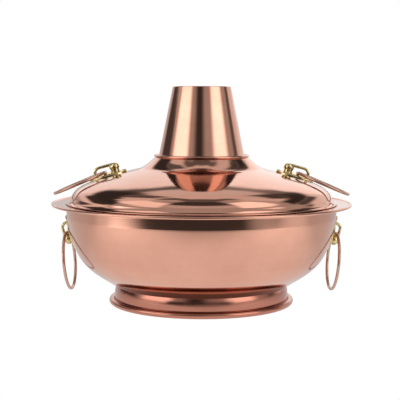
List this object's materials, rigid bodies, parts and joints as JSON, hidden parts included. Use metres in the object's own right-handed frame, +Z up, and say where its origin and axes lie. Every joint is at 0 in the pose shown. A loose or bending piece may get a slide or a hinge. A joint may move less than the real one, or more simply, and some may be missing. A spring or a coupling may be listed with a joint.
{
  "type": "chimney hot pot",
  "caption": "Copper hot pot with a central charcoal tube and tapered chimney, a lift-off domed lid, a rolled foot and hinged ring handles in brass eyes.",
  "frame": {"origin": "centre of the flat ring that the foot rests on", "axes": "+Z up the chimney, +X towards the right-hand handles, -Y towards the viewer of the picture"},
  "size_m": [0.3, 0.3, 0.217],
  "materials": {
    "copper": "polished",
    "ring_copper": "polished and darkened",
    "brass": "cast and polished",
    "iron": "as cast",
    "steel": "plain sheet"
  },
  "bodies": {
    "pot": {"bowl": "copper", "foot_ring": "copper", "fire_tube": "copper", "grate_ledge": "copper", "charcoal_grate": "iron", "ash_pan": "steel", "bowl_plate_left": "brass", "bowl_plate_right": "brass", "bowl_eye_left": "brass", "bowl_eye_right": "brass", "bowl_rivets_left": "brass", "bowl_rivets_right": "brass"},
    "lid": {"lid": "copper", "lid_plate_left": "brass", "lid_plate_right": "brass", "lid_eye_left": "brass", "lid_eye_right": "brass", "lid_rivets_left": "brass", "lid_rivets_right": "brass"},
    "chimney": {"chimney": "copper"},
    "bowl_ring_left": {"bowl_ring_left": "ring_copper"},
    "bowl_ring_right": {"bowl_ring_right": "ring_copper"},
    "lid_ring_left": {"lid_ring_left": "ring_copper"},
    "lid_ring_right": {"lid_ring_right": "ring_copper"}
  },
  "joints": [
    {"name": "lid_lift", "type": "slide", "parent": "pot", "child": "lid", "axis": [0, 0, 1], "range_m": [0, 0.125]},
    {"name": "chimney_lift", "type": "slide", "parent": "pot", "child": "chimney", "axis": [0, 0, 1], "range_m": [0, 0.06]},
    {"name": "bowl_ring_left_swing", "type": "hinge", "parent": "pot", "child": "bowl_ring_left", "pos_m": [-0.136, 0, 0.0703], "axis": [0, 1, 0], "range_deg": [-15, 140]},
    {"name": "bowl_ring_right_swing", "type": "hinge", "parent": "pot", "child": "bowl_ring_right", "pos_m": [0.136, 0, 0.0703], "axis": [0, -1, 0], "range_deg": [-15, 140]},
    {"name": "lid_ring_left_swing", "type": "hinge", "parent": "lid", "child": "lid_ring_left", "pos_m": [-0.0968, 0, 0.1312], "axis": [0, 1, 0], "range_deg": [0, 165]},
    {"name": "lid_ring_right_swing", "type": "hinge", "parent": "lid", "child": "lid_ring_right", "pos_m": [0.0968, 0, 0.1312], "axis": [0, -1, 0], "range_deg": [0, 165]}
  ]
}
